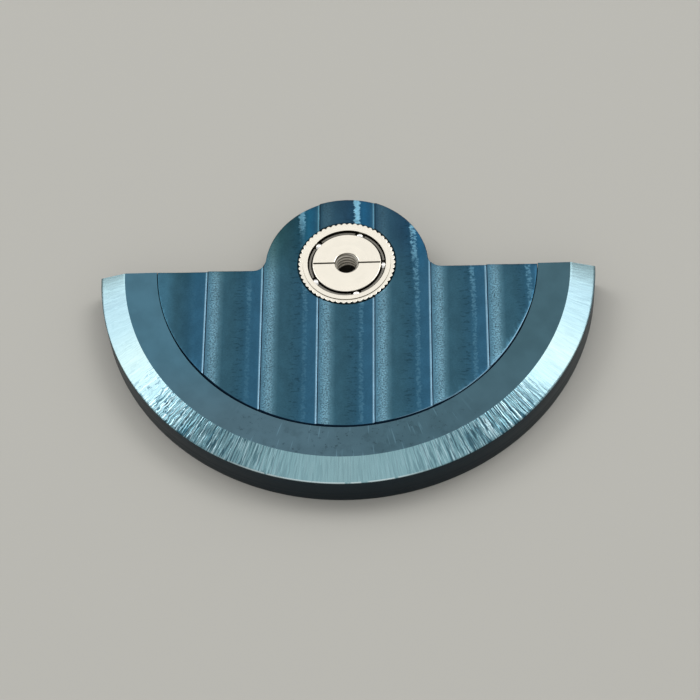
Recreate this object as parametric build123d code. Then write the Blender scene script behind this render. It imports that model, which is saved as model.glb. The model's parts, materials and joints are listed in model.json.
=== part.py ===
from build123d import *
import math
import os

# Automatic watch rotor: a half disc weight on a ball bearing, all sizes in mm.
# Z is the rotor axis. Heights count from the seat face under the bearing core, radii from the axis.
# The heavy half disc lies towards -Y and the hub lobe towards +Y.

# Oscillating weight
weight_radius = 13.20
bevel_width = 1.33
bevel_drop = 0.45
rim_face_width = 1.75
rim_ledge_width = 0.74
rim_height = 2.20
rim_edge_break = 0.08
back_edge_offset = 0.32
plate_thickness = 0.47
plate_proud = 0.02
plate_seam = 0.02
lobe_radius = 4.35
lobe_offset = 0.19
lobe_fillet = 0.70
stripe_pitch = 2.966
stripe_offset = -1.44
stripe_depth = 0.065
stripe_riser_width = 0.13
stripe_sag_share = 0.72

# Bearing core and cone, the inner race
core_height = 1.08
core_radius = 1.83
core_bevel = 0.02
core_setback = 0.01
cone_wall = 0.39
cone_bevel = 0.10
cone_lift = 0.06
thread_minor_radius = 0.565
thread_mouth_radius = 0.64
thread_exit_radius = 0.60
slot_width = 0.10
slot_depth = 0.08
slot_end_margin = 0.04

# Balls and cage
ball_count = 5
ball_radius = 0.30
ball_track_outset = 0.125
ball_depth = 0.36
race_clearance = 0.015
first_ball_angle = -2.7
race_gap = 0.26
cage_clearance = 0.08
cage_wall = 0.11
cage_recess = 0.11
cage_base = 0.09
pocket_clearance = 0.03
pocket_mouth_share = 0.85

# Bearing outer ring, the outer race
ring_wall = 0.135
ring_lift = 0.06
flange_width = 0.175
flange_thickness = 0.20
flange_recess = 0.02
flange_gap = 0.04
knurl_count = 54
knurl_depth = 0.085
boss_setback = 0.24
boss_height = 0.03
press_clearance = 0.01

# Winding gear under the plate
gear_teeth = 60
gear_wall = 0.47
gear_thickness = 0.33
gear_addendum_modules = 1.0
gear_dedendum_modules = 1.25
tooth_root_share = 0.68
tooth_tip_share = 0.26

# What a cutter runs past the piece that it cuts
overrun = 1.0

# Heights
plate_top = core_height + core_setback
plate_bottom = plate_top - plate_thickness
rim_face = plate_top - plate_proud
rim_bottom = rim_face - rim_height
ball_level = core_height - ball_depth
flange_top = plate_top - flange_recess
flange_bottom = flange_top - flange_thickness
boss_top = flange_top + boss_height

# Radii
bevel_inner_radius = weight_radius - bevel_width
plate_radius = bevel_inner_radius - rim_face_width
rim_inner_radius = plate_radius - rim_ledge_width
ball_track_radius = core_radius + ball_track_outset
groove_radius = ball_radius + race_clearance
inner_race_radius = ball_track_radius - groove_radius
neck_radius = inner_race_radius - cone_wall
ring_bore_radius = core_radius + race_gap
ring_neck_radius = ball_track_radius + groove_radius + ring_wall
flange_radius = ring_neck_radius + flange_width
boss_radius = flange_radius - boss_setback
recess_radius = flange_radius + flange_gap
gear_root_radius = ring_neck_radius + gear_wall
gear_module = 2 * gear_root_radius / (gear_teeth - 2 * gear_dedendum_modules)
gear_tip_radius = gear_root_radius + (gear_dedendum_modules + gear_addendum_modules) * gear_module


def turned(points):
    """A solid of revolution from (radius, height) corners."""
    corners = [(radius, 0, height) for radius, height in points]
    return revolve(make_face(Polyline(*corners, close=True)), Axis.Z)


def upright_cylinder(radius, low, high):
    return Pos(0, 0, low) * Cylinder(radius, high - low, align=(Align.CENTER, Align.CENTER, Align.MIN))


def race_torus():
    """The ring shaped space that both races leave for the balls."""
    return Pos(0, 0, ball_level) * Torus(ball_track_radius, groove_radius)


def polar(radius, degrees):
    turn = math.radians(degrees)
    return radius * math.cos(turn), radius * math.sin(turn)


def in_front_of_back_edge(solid):
    """Keeps what lies on the heavy side of the straight back edge."""
    reach = weight_radius + overrun
    keep = Pos(0, -back_edge_offset, rim_bottom - overrun) * Box(
        2 * reach,
        reach,
        rim_height + plate_proud + 2 * overrun,
        align=(Align.CENTER, Align.MAX, Align.MIN),
    )
    return solid & keep


def heavy_rim():
    """Thick half ring: flat face, bevel, tall outer wall, and an inner ledge that the plate lies on."""
    pocket_radius = plate_radius + plate_seam
    bevel_foot = rim_face - bevel_drop
    section = [
        (rim_inner_radius, rim_bottom + rim_edge_break),
        (rim_inner_radius + rim_edge_break, rim_bottom),
        (weight_radius - rim_edge_break, rim_bottom),
        (weight_radius, rim_bottom + rim_edge_break),
        (weight_radius, bevel_foot),
        (bevel_inner_radius, rim_face),
        (pocket_radius, rim_face),
        (pocket_radius, plate_bottom),
        (rim_inner_radius, plate_bottom),
    ]
    return in_front_of_back_edge(turned(section))


def plate_outline():
    """Half disc with the hub lobe, joined by a small fillet on each side."""
    reach = weight_radius + overrun
    half = Circle(plate_radius) & (
        Pos(0, -back_edge_offset) * Rectangle(2 * reach, reach, align=(Align.CENTER, Align.MAX))
    )
    outline = half + Pos(0, -lobe_offset) * Circle(lobe_radius)
    inner_corners = [
        v for v in outline.vertices() if math.hypot(v.X, v.Y) < (lobe_radius + plate_radius) / 2
    ]
    return fillet(inner_corners, lobe_fillet)


def striped_block():
    """A block under the striped top: each stripe sinks in a shallow hollow, then a fillet climbs again."""
    first = math.floor((-plate_radius - stripe_offset) / stripe_pitch)
    last = math.ceil((plate_radius - stripe_offset) / stripe_pitch)
    low = plate_top - stripe_depth
    middle = plate_top - stripe_depth * stripe_sag_share
    edges = []
    for number in range(first, last):
        left = stripe_offset + number * stripe_pitch
        right = left + stripe_pitch
        foot = right - stripe_riser_width
        edges.append(ThreePointArc((left, 0, plate_top), ((left + foot) / 2, 0, middle), (foot, 0, low)))
        edges.append(TangentArc((foot, 0, low), (right, 0, plate_top), tangent=(1, 0, 0)))
    start = stripe_offset + first * stripe_pitch
    end = stripe_offset + last * stripe_pitch
    base = [(end, 0, plate_top), (end, 0, plate_bottom), (start, 0, plate_bottom), (start, 0, plate_top)]
    edges.append(Polyline(*base))
    return extrude(make_face(edges), weight_radius + overrun, dir=(0, 1, 0), both=True)


def carrier_plate():
    """Thin striped plate with a stepped hub hole: a recess for the knurled flange, a bore for the neck."""
    blank = Pos(0, 0, plate_bottom) * extrude(plate_outline(), plate_thickness + overrun, dir=(0, 0, 1))
    plate = blank & striped_block()
    plate -= upright_cylinder(recess_radius, flange_bottom, plate_top + overrun)
    plate -= upright_cylinder(ring_neck_radius + press_clearance, plate_bottom - overrun, flange_bottom)
    return plate


def bearing_core():
    """Slotted nut on the movement's post: threaded hole, upper half race, and a neck for the cone."""
    mouth_depth = thread_mouth_radius - thread_minor_radius
    exit_depth = thread_exit_radius - thread_minor_radius
    core = turned(
        [
            (thread_exit_radius, 0),
            (neck_radius, 0),
            (neck_radius, ball_level),
            (core_radius, ball_level),
            (core_radius, core_height - core_bevel),
            (core_radius - core_bevel, core_height),
            (thread_mouth_radius, core_height),
            (thread_minor_radius, core_height - mouth_depth),
            (thread_minor_radius, exit_depth),
        ]
    )
    slot_reach = core_radius - slot_end_margin
    slot = Pos(0, 0, core_height - slot_depth) * Box(
        2 * slot_reach,
        slot_width,
        slot_depth + overrun,
        align=(Align.CENTER, Align.CENTER, Align.MIN),
    )
    return core - race_torus() - slot


def bearing_cone():
    """Lower half of the inner race, pressed on the core's neck."""
    cone = turned(
        [
            (neck_radius + press_clearance, cone_lift),
            (core_radius - cone_bevel, cone_lift),
            (core_radius, cone_lift + cone_bevel),
            (core_radius, ball_level),
            (neck_radius + press_clearance, ball_level),
        ]
    )
    return cone - race_torus()


def knurled_flange():
    """Flange with V teeth all round."""
    half_step = 360 / knurl_count / 2
    corners = []
    for tooth in range(knurl_count):
        corners.append(polar(flange_radius, 2 * tooth * half_step))
        corners.append(polar(flange_radius - knurl_depth, (2 * tooth + 1) * half_step))
    face = make_face(Polyline(*corners, close=True))
    return Pos(0, 0, flange_bottom) * extrude(face, flange_thickness, dir=(0, 0, 1))


def bearing_outer_ring():
    """Outer race: knurled flange in the plate's recess, raised band on top, neck down through the plate."""
    ring = knurled_flange()
    ring += upright_cylinder(boss_radius, flange_bottom, boss_top)
    ring += upright_cylinder(ring_neck_radius, ring_lift, flange_bottom)
    ring -= upright_cylinder(ring_bore_radius, ring_lift - overrun, boss_top + overrun)
    return ring - race_torus()


def winding_gear():
    """Gear pressed on the ring's neck under the plate; it drives the winding train."""
    step = 360 / gear_teeth
    root_half = step * tooth_root_share / 2
    tip_half = step * tooth_tip_share / 2
    corners = []
    for tooth in range(gear_teeth):
        middle = tooth * step
        corners.append(polar(gear_root_radius, middle - root_half))
        corners.append(polar(gear_tip_radius, middle - tip_half))
        corners.append(polar(gear_tip_radius, middle + tip_half))
        corners.append(polar(gear_root_radius, middle + root_half))
    face = make_face(Polyline(*corners, close=True)) - Circle(ring_neck_radius + press_clearance)
    return Pos(0, 0, plate_bottom - gear_thickness) * extrude(face, gear_thickness, dir=(0, 0, 1))


def ball_angle(number):
    return first_ball_angle + number * 360 / ball_count


def ball(number):
    x, y = polar(ball_track_radius, ball_angle(number))
    return Pos(x, y, ball_level) * Sphere(ball_radius)


def pocket_cutter():
    """Round window for a ball, open upwards through a mouth narrower than the ball."""
    pocket_radius = ball_radius + pocket_clearance
    reach = 2 * race_gap
    window = Pos(ball_track_radius, 0, ball_level) * Rot(0, 90, 0) * Cylinder(pocket_radius, reach)
    mouth = Pos(ball_track_radius, 0, ball_level) * Box(
        reach,
        2 * pocket_radius * pocket_mouth_share,
        core_height - ball_level + overrun,
        align=(Align.CENTER, Align.CENTER, Align.MIN),
    )
    return window + mouth


def ball_cage():
    """Thin crown between the races: closed below the balls, with an open pocket for each."""
    low = ball_level - ball_radius - pocket_clearance - cage_base
    high = core_height - cage_recess
    inner_radius = core_radius + cage_clearance
    crown = upright_cylinder(inner_radius + cage_wall, low, high)
    crown -= upright_cylinder(inner_radius, low - overrun, high + overrun)
    for number in range(ball_count):
        crown -= Rot(0, 0, ball_angle(number)) * pocket_cutter()
    return crown


def write(name, solid):
    """One STEP file for each piece, checked to be a single solid."""
    pieces = solid.solids()
    if len(pieces) != 1:
        raise ValueError(f"{name} came out as {len(pieces)} solids")
    export_step(pieces[0], f"parts/{name}.step")


os.makedirs("parts", exist_ok=True)
write("heavy_rim", heavy_rim())
write("carrier_plate", carrier_plate())
write("bearing_outer_ring", bearing_outer_ring())
write("winding_gear", winding_gear())
write("bearing_core", bearing_core())
write("bearing_cone", bearing_cone())
write("ball_cage", ball_cage())
for number in range(ball_count):
    write(f"ball_{number + 1}", ball(number))
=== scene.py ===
import json
import math
from functools import partial

import bmesh
import bpy
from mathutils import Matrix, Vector

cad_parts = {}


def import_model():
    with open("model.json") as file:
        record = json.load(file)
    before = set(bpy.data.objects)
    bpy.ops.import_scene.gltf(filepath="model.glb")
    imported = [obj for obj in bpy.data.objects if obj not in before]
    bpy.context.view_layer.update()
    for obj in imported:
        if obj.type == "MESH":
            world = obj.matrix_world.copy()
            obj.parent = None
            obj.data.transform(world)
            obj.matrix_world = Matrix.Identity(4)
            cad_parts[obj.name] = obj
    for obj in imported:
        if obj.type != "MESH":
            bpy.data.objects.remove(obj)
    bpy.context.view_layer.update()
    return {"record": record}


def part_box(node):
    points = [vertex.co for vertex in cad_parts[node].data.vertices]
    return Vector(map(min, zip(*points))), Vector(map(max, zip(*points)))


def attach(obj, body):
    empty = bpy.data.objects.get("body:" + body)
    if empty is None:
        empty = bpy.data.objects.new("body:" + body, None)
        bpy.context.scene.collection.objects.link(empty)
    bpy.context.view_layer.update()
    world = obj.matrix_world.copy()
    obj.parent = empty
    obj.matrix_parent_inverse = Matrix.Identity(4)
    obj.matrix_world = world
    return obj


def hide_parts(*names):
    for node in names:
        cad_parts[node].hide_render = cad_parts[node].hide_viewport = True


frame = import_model()

# Sizes are in mm until a mesh or an object is made
MM = 0.001
TURN = 2 * math.pi
TINY = 1e-4


def corners_of(node):
    """Lowest and highest corner of a CAD node."""
    low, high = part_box(node)
    return low / MM, high / MM


def hole_radius(name):
    """Radius of the hole that a mount stands for."""
    found = [mount for mount in frame["record"]["mounts"] if mount["name"] == name]
    return found[0]["dims"]["r_mm"]


# Heavy rim
rim_low, rim_high = corners_of("heavy_rim")
RIM_RADIUS = -rim_low.y
RIM_BOTTOM = rim_low.z
RIM_FACE = rim_high.z
BACK_EDGE = rim_high.y
BEVEL_WIDTH = 1.33
BEVEL_DROP = 0.45
BEVEL_SLOPE = BEVEL_DROP / BEVEL_WIDTH
RIM_LEDGE = 0.74
RIM_EDGE = 0.08
BEVEL_FOOT_EDGE = 0.05
BEVEL_TOP_EDGE = 0.03
RIM_SUPPORT = 0.12
RIM_STEPS = 360

# Striped plate
plate_low, plate_high = corners_of("carrier_plate")
PLATE_RADIUS = -plate_low.y
PLATE_BOTTOM = plate_low.z
PLATE_TOP = plate_high.z
PLATE_SEAM = 0.02
PLATE_CHAMFER = 0.03
POCKET_EDGE = 0.01
LOBE_RADIUS = 4.35
LOBE_CENTRE = plate_high.y - LOBE_RADIUS
LOBE_FILLET = 0.70
STRIPE_PITCH = 2.966
STRIPE_OFFSET = -1.44
STRIPE_DEPTH = 0.065
STRIPE_RISER = 0.13
STRIPE_FLAT = STRIPE_PITCH - STRIPE_RISER
STRIPE_SAG_SHARE = 0.72
OUTLINE_STEPS = 180
FILLET_STEPS = 16
COLUMNS_PER_STRIPE = 14
COLUMNS_PER_RISER = 6
ROW_HEIGHT = 0.9
CUT_TOLERANCE = 1e-5

# The plate's round edge: a flat bright edge, then a steep dark one. Each grows, holds and shrinks again
# between four angles in degrees, and where it is wide enough gets its own colour: painted highlight on
# the bright edge, painted shade on the dark one
EDGE_REACH = 0.22
BRIGHT_EDGE = 0.055
BRIGHT_EDGE_LEAST = 0.008
BRIGHT_EDGE_DEGREES = (280, 304, 334, 347)
BRIGHT_COLOUR_SHARE = 1.5
DARK_EDGE_LEAST = 0.022
DARK_EDGES = [(0.11, (195, 228, 292, 312)), (0.065, (290, 312, 334, 348))]
DARK_COLOUR_SHARE = 1.2
EDGE_FACE_SHARE = 0.95
EDGE_MARGIN = 0.02
CORNER_REACH = 1.5 * PLATE_CHAMFER

# Bearing
ring_low, ring_high = corners_of("bearing_outer_ring")
core_high = corners_of("bearing_core")[1]
cone_low = corners_of("bearing_cone")[0]
cage_low, cage_high = corners_of("ball_cage")
ball_low, ball_high = corners_of("ball_1")
BALL_COUNT = 5
BALL_RADIUS = (ball_high.z - ball_low.z) / 2
BALL_CENTRE = (ball_high + ball_low) / 2
BALL_LEVEL = BALL_CENTRE.z
FIRST_BALL_ANGLE = math.atan2(BALL_CENTRE.y, BALL_CENTRE.x)
BALL_SEGMENTS = 64
BALL_RINGS = 32
TRACK_RADIUS = math.hypot(BALL_CENTRE.x, BALL_CENTRE.y)
GROOVE_CLEARANCE = 0.015
GROOVE_RADIUS = BALL_RADIUS + GROOVE_CLEARANCE
RACE_LEVELS = 12
OUTER_RACE_LEVELS = 16
RACE_STEPS = 192
RACE_GAP = 0.26
PRESS_CLEARANCE = 0.01

# Slotted core and cone, the two halves of the inner race
CORE_RADIUS = core_high.x
CORE_TOP = core_high.z
CORE_BEVEL = 0.02
CORE_BEVEL_SHARES = (0.12, 0.5, 0.88)
CORE_LIP = 0.02
FACE_LOOP_SHARES = (1.1, 3)
MOUTH_LOOP_SHARES = (3, 1)
CONE_WALL = 0.39
CONE_BEVEL = 0.10
CONE_GAP = 0.01
THREAD_MINOR = hole_radius("post_thread")
THREAD_MAJOR = 0.64
THREAD_PITCH = 0.25
THREAD_FLANK_SHARE = 0.42
THREAD_ROOT_GAIN = 1.1
THREAD_RUN_IN = 0.1
THREAD_LEVELS = 40
THREAD_MOUTH = 0.64
MOUTH_STEP = 0.01
THREAD_EXIT = 0.60
BORE_FOOT = THREAD_EXIT - THREAD_MINOR
SLOT_WIDTH = 0.10
SLOT_DEPTH = 0.08
SLOT_FLOOR_SHARE = 0.5
SLOT_EDGE_SHARE = 0.6
SLOT_END_MARGIN = 0.04

# How far below the core's top its threaded bore, with painted shade in the grooves, and the painted shade
# of its slot begin
BORE_SHADE_DEPTH = 0.002
SLOT_SHADE_DEPTH = 0.005

# Outer ring
RING_BORE = CORE_RADIUS + RACE_GAP
RING_WALL = 0.135
RING_NECK = TRACK_RADIUS + GROOVE_RADIUS + RING_WALL
RING_EDGE = 0.015
FLANGE_RADIUS = ring_high.x
FLANGE_SINK = 0.02
FLANGE_THICKNESS = 0.20
FLANGE_TOP = PLATE_TOP - FLANGE_SINK
FLANGE_BOTTOM = FLANGE_TOP - FLANGE_THICKNESS
FLANGE_GAP = 0.04
HUB_HOLE_MARGIN = 0.1
HUB_HOLE_STEPS = 180
BOSS_TOP = ring_high.z
BOSS_INSET = 0.24
BOSS_RADIUS = FLANGE_RADIUS - BOSS_INSET
BAND_GROOVE_DEPTH = 0.012
BAND_GROOVE_WIDTH = 0.09
KNURL_COUNT = 54
KNURL_DEPTH = 0.085
KNURL_SLOPE = 1.3
KNURL_STEPS = 10
FLANK_POWER = 0.8

# Ball cage
CAGE_CLEARANCE = 0.08
CAGE_WALL = 0.11
CAGE_EDGE = 0.01
CAGE_STEPS = 240
POCKET_CLEARANCE = 0.03
POCKET_MOUTH_SHARE = 0.85
POCKET_STEPS = 32

# Winding gear
gear_low, gear_high = corners_of("winding_gear")
GEAR_TEETH = 60
GEAR_WALL = 0.47
GEAR_EDGE = 0.03
GEAR_ROOT = RING_NECK + GEAR_WALL
TOOTH_ROOT_SHARE = 0.68
TOOTH_TIP_SHARE = 0.26
TOOTH_FLANK_STEPS = 5

# Least part of a face's normal in a direction, for the face to count as looking that way
FACES_FLAT = 0.995
FACES_FULLY = 0.9
FACES_MOSTLY = 0.5
FACES_PARTLY = 0.3
SHARP_DEGREES = 32
CORNER_STEPS = 3
CORNER_SIDE_SHARE = 0.45

# Finishes, from here to the floor. Colours are linear. Stops are (share, colour) or (share, number).
# Noise has its marks per mm, alike or along each axis, then its detail and roughness.
# A fade has its two ends, then the values there where these aren't 0 and 1.
NOISE_MEAN = 0.5

# Striped finish: places along a stripe's width are shares of its pitch, others are x or y
STRIPED_COLOUR = (0.04, 0.12, 0.18)
# Across a stripe the bands are partly its frosting and partly painted reflection; at 0.955 the riser's
# polished line is lightened as painted highlight, from 0.985 a line of painted shade
STRIPE_COLOURS = [
    (0.0, (0.065, 0.160, 0.230)),
    (0.05, (0.085, 0.195, 0.265)),
    (0.12, (0.120, 0.245, 0.315)),
    (0.17, (0.108, 0.222, 0.285)),
    (0.22, (0.066, 0.155, 0.205)),
    (0.30, (0.034, 0.096, 0.135)),
    (0.47, (0.030, 0.088, 0.126)),
    (0.65, (0.026, 0.084, 0.130)),
    (0.77, (0.028, 0.097, 0.160)),
    (0.91, (0.029, 0.100, 0.168)),
    (0.949, (0.032, 0.105, 0.175)),
    (0.955, (0.240, 0.450, 0.580)),
    (0.962, (0.160, 0.290, 0.390)),
    (0.979, (0.160, 0.290, 0.390)),
    (0.985, (0.022, 0.056, 0.100)),
    (0.998, (0.022, 0.056, 0.100)),
]
# The same marks at the hub, with a painted reflection streak from 0.79
HUB_STRIPE_COLOURS = [
    (0.0, (0.020, 0.060, 0.100)),
    (0.07, (0.038, 0.092, 0.136)),
    (0.15, (0.040, 0.096, 0.138)),
    (0.27, (0.026, 0.072, 0.112)),
    (0.47, (0.020, 0.059, 0.100)),
    (0.63, (0.016, 0.060, 0.110)),
    (0.79, (0.018, 0.105, 0.205)),
    (0.89, (0.018, 0.088, 0.170)),
    (0.949, (0.028, 0.098, 0.165)),
    (0.955, (0.110, 0.280, 0.390)),
    (0.962, (0.085, 0.210, 0.300)),
    (0.979, (0.085, 0.210, 0.300)),
    (0.985, (0.018, 0.055, 0.095)),
    (0.998, (0.018, 0.055, 0.095)),
]
HUB_FADE = (-1.5, 2.5)
HUB_LEFT_TINT = (0.95, 1.05, 0.80)
HUB_LEFT_FADE = (-0.5, -3.5)
LEFT_END_COLOUR = (0.046, 0.135, 0.195)
LEFT_END_FADE = (-8.9, -9.7)
GRAIN = (12.0, 2.0, 0.8)
GRAIN_CONTRAST = 0.5
FROST_CONTRAST_FADE = (1.0, -2.0, 0.8, 3.2)
FROST_START_FADE = (0.0, 0.06)
FROST_END_FADE = (0.27, 0.14)
FROST_RIPPLE = ((1.0, 3.0, 1.0), 2.0)
FROST_RIPPLE_SHARE = 0.10
PATCHES = ((1.6, 0.9, 1.0), 3.0)
PATCHES_FADE = (0.3, 0.7, 0.92, 1.08)
DASHES = ((2.6, 8.0, 1.0), 2.0, 0.6)
DASHES_FADE = (0.45, 0.37)
DASHES_START_FADE = (0.39, 0.57)
DASHES_END_FADE = (0.71, 0.65)
DASHES_LEFT_FADE = (-8.0, -6.0)
DASHES_DARKNESS = 0.30
# The light streak along each stripe is a painted reflection
STREAK_REFLECTION_COLOUR = (0.30, 0.66, 0.86)
STREAK_RAGGEDNESS = ((1.5, 6.0, 1.0), 3.0, 0.85)
STREAK_RAGGED_SHARE = 0.17
STREAK_CENTRE_FADE = (-3.0, 3.6, 0.748, 0.665)
STREAK_SPREAD_FADE = (-4.0, 1.0, 1.5, 1.0)
STREAK_FADE = (0.060, 0.040)
MOTTLES = ((4.0, 6.0, 1.0), 2.0, 0.7)
MOTTLES_FADE = (0.38, 0.60)
MOTTLES_TOP_FADE = (1.6, 3.4, 0.0, 0.85)
STREAK_GAINS = [(0.2, 0.08), (0.5, 0.12), (0.7, 0.26), (0.82, 0.50), (0.88, 0.80)]
STREAK_GAINS_LENGTH = 16
STREAK_GAINS_AXIS_SHARE = 0.7
STREAK_LEFT_END_FADE = (-8.4, -6.0, 0.12, 1.0)
STREAK_LEFT_FADE = (-1.5, -2.5, 1.0, 0.55)
# Where the painted reflection streak is dimmed, left of the axis
STREAK_DIM_TOP_FADE = (2.7, 1.6)
STREAK_DIM_FOOT_FADE = (-2.0, -0.5)
STREAK_DIM_LEFT_FADE = (-1.5, -2.5)
STREAK_DIM_GAIN_FADE = (0.0, 1.0, 1.0, 0.2)
STRIPED_ROUGHNESS = 0.28
FROST_ROUGHNESS = 0.1
DRAWN_MARKS = ((1.0, 16.0, 1.0), 2.0)
DRAWN_MARKS_HEIGHT = 0.4
STRIPED_RELIEF = 0.002

# Satin finish: places are x or y, and angles in degrees
SATIN_COLOUR = (0.075, 0.16, 0.21)
# Painted light: the face is lighter and bluer at the left than at the right
SATIN_LEFT = (0.073, 0.172, 0.232)
SATIN_RIGHT = (0.060, 0.125, 0.155)
SATIN_FADE = (-9.0, 9.0)
SATIN_LOWER = (0.079, 0.145, 0.182)
SATIN_LOWER_RIGHT = (0.064, 0.126, 0.158)
SATIN_LOWER_FADE = (-2.0, 4.0)
SATIN_DOWN_FADE = (-5.0, -10.0)
SATIN_CLOUD = (0.8, 3.0)
SATIN_CLOUD_FADE = (0.3, 0.7, 0.92, 1.07)
SATIN_FROST = (14.0, 2.0)
SATIN_FROST_CONTRAST = 0.16
SATIN_ROUGHNESS_FADE = (0.2, 0.8, 0.46, 0.56)
SATIN_RELIEF = 0.0015
MARKED_START_FADE = (-128, -112)
MARKED_END_FADE = (-50, -66)
SCRATCHES = ((6.0, 0.6, 1.0), 1.0)
SCRATCHES_FADE = (0.63, 0.72)
SCRATCHES_LIGHTNESS = 0.45
SPECKS = (3.2, 3.0, 0.8)
SPECKS_FADE = (0.40, 0.30)
SPECKS_DARKNESS = 0.40
SMUDGES = (1.1, 3.0, 0.6)
SMUDGES_FADE = (0.46, 0.34)
SMUDGES_DARKNESS = 0.14

# Brushed finish: stops are shares of the way from the bevel's middle to its ends
BEVEL_MIDDLE_DEGREES = -90
BEVEL_HALF_DEGREES = 90
BEVEL_COLOUR = (0.22, 0.38, 0.42)
# Partly painted light: greyer and paler about two thirds of the way to each end, where the bevel mirrors
# the lamps
BEVEL_COLOURS = [
    (0.0, (0.225, 0.375, 0.408)),
    (0.22, (0.200, 0.360, 0.400)),
    (0.37, (0.175, 0.335, 0.390)),
    (0.45, (0.155, 0.305, 0.358)),
    (0.52, (0.190, 0.338, 0.388)),
    (0.61, (0.230, 0.338, 0.368)),
    (0.70, (0.235, 0.320, 0.325)),
    (0.80, (0.190, 0.280, 0.308)),
    (0.89, (0.180, 0.268, 0.302)),
    (0.97, (0.200, 0.300, 0.324)),
]
BRUSHING_STRENGTH = [(0.0, 0.06), (0.14, 0.12), (0.30, 0.8), (0.54, 1.0), (0.60, 0.7), (0.68, 0.04)]
BRUSHING_SHIFT_FADE = (-65, -45, 0.0, 0.07)
TORN_FADE = (0.42, 0.50)
TORN_SIDE_FADE = (-85, -95)
WIGGLE = ((2.5, 3.5, 1.0), 1.0)
WIGGLE_REACH = 0.06
TORN_WIGGLE_REACH = 0.14
FINE_BRUSHING = ((16.0, 0.9, 1.0), 2.0)
FINE_CONTRAST = 0.3
FINE_DARKEST = 0.85
FINE_HEIGHT = 0.6
COARSE_BRUSHING = ((8.0, 0.7, 1.0), 2.0)
COARSE_HEIGHT = 2.5
COARSE_ROUGHNESS_FADE = (0.3, 0.7, 0.12, 0.18)
GLINT_COLOUR = (0.42, 0.60, 0.66)
GLINTS = ((14.3, 0.6, 1.0), 2.0)
GLINTS_FADE = (0.53, 0.60)
# Painted shade in the brushing's furrows, partly the plating's dark edges
FURROW_SHADE_COLOUR = (0.010, 0.058, 0.092)
FURROW_SHADE_MARKS = ((9.5, 0.75, 1.0), 2.0)
FURROW_SHADE_FADE = (0.50, 0.43)
FURROW_SHADE_GAIN = 0.85
FURROW_SHADE_LEAST = 0.04
PITS = ((2.6, 3.6, 1.0), 2.0, 0.6)
PITS_FADE = (0.47, 0.53)
SMOOTHER_FADE = (0.48, 0.58)
SMOOTHER_RELIEF_SHARE = 0.35
# A bright line along the bevel's foot in front: partly wear, partly painted highlight on the rounded edge
WORN_SHEEN_COLOUR = (0.50, 0.62, 0.64)
WORN_SHEEN_EDGE_FADE = (RIM_RADIUS - 1.6 * BEVEL_FOOT_EDGE, RIM_RADIUS - 1.1 * BEVEL_FOOT_EDGE)
WORN_SHEEN_START_FADE = (-125, -108)
WORN_SHEEN_END_FADE = (-66, -82)
WORN_SHEEN_GAPS = ((2.4, 1.0, 1.0), 2.0)
WORN_SHEEN_GAPS_FADE = (0.36, 0.44)
BRUSHING_RELIEF = 0.010

# Turned, threaded and polished metals
TURNED_MARKS_ENDS = (0.2, 0.8)
TURNED_ROUGHNESS_SHARES = (0.85, 1.2)
TURNED_CLOUD = (1.5, 2.0)
TURNED_CLOUD_ENDS = (0.3, 0.7)
# The rim's walls are darker than their blue metal: partly painted shade
WALL_COLOUR = (0.015, 0.030, 0.043)
EDGE_COLOUR = (0.032, 0.066, 0.085)
# Painted shade on the plate's dark edge, painted highlight on its bright edge
EDGE_SHADE_COLOUR = (0.007, 0.020, 0.040)
EDGE_HIGHLIGHT_COLOUR = (0.115, 0.215, 0.29)
UNDERSIDE_COLOUR = (0.060, 0.150, 0.200)
STEEL_COLOUR = (0.88, 0.83, 0.72)
# Painted shade: the race, the slot, the band's wall and the whole cone get this darker steel
RACE_COLOUR = (0.17, 0.155, 0.115)
# The cage's steel is darkened, partly painted shade down in the gap
CAGE_COLOUR = (0.20, 0.19, 0.165)
BRASS_COLOUR = (0.80, 0.62, 0.32)
CREST_COLOUR = (0.95, 0.91, 0.82)
CREST_WIDTH = 0.005
# Painted shade in the thread's grooves
GROOVE_SHADE_COLOUR = (0.16, 0.14, 0.10)
THREAD_MARKS = ((2.0, 40.0, 40.0), 2.0)
THREAD_SHADE_FADE = (0.2, 0.8, 0.9, 1.1)
THREAD_ROUGHNESS_FADE = (0.2, 0.8, 0.3, 0.42)
BALL_COLOUR = (0.92, 0.91, 0.88)
BALL_MARKS = (9.0, 3.0)
BALL_SHADE_FADE = (0.2, 0.8, 0.96, 1.03)
BALL_ROUGHNESS_FADE = (0.3, 0.7, 0.049, 0.098)

# Floor, with a painted shadow under the bearing that shows through the bore
FLOOR_COLOUR = (0.545, 0.537, 0.495)
FLOOR_RADIUS = 2000
FLOOR_SIDES = 96
FLOOR_GAP = 0.002
BORE_SHADOW_COLOUR = (0.035, 0.030, 0.020)
BORE_SHADOW_FADE = (1.3, FLANGE_RADIUS)

# The sky's strength by height over the horizon
SKY_FADE = (0.0, 0.75, 0.20, 0.62)

# Round lamps: azimuth from +X towards +Y, elevation, distance and size in m, radiance
LAMPS = [
    ("lamp_left", 149.5, 47, 0.45, 0.23, 2.5),
    ("lamp_right", 38.5, 54, 0.45, 0.23, 2.8),
    ("lamp_back", 95, 56, 0.5, 0.40, 0.40),
    ("lamp_top", 270, 86, 0.5, 0.36, 0.40),
]

# Camera, as fitted to the photograph
CAMERA_PLACE = Vector((5.938, -70.101, 102.821))
CAMERA_TURN_DEGREES = (32.3843, 3.0448, 0.2862)
CAMERA_LENS = 119.384
CAMERA_SENSOR = 36
CAMERA_CLIP_START = 1


def arc(centre, radius, start, end, steps):
    """Points on an arc from angle start to angle end, both ends with it."""
    angles = [start + (end - start) * step / steps for step in range(steps + 1)]
    return [(centre[0] + radius * math.cos(a), centre[1] + radius * math.sin(a)) for a in angles]


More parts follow.
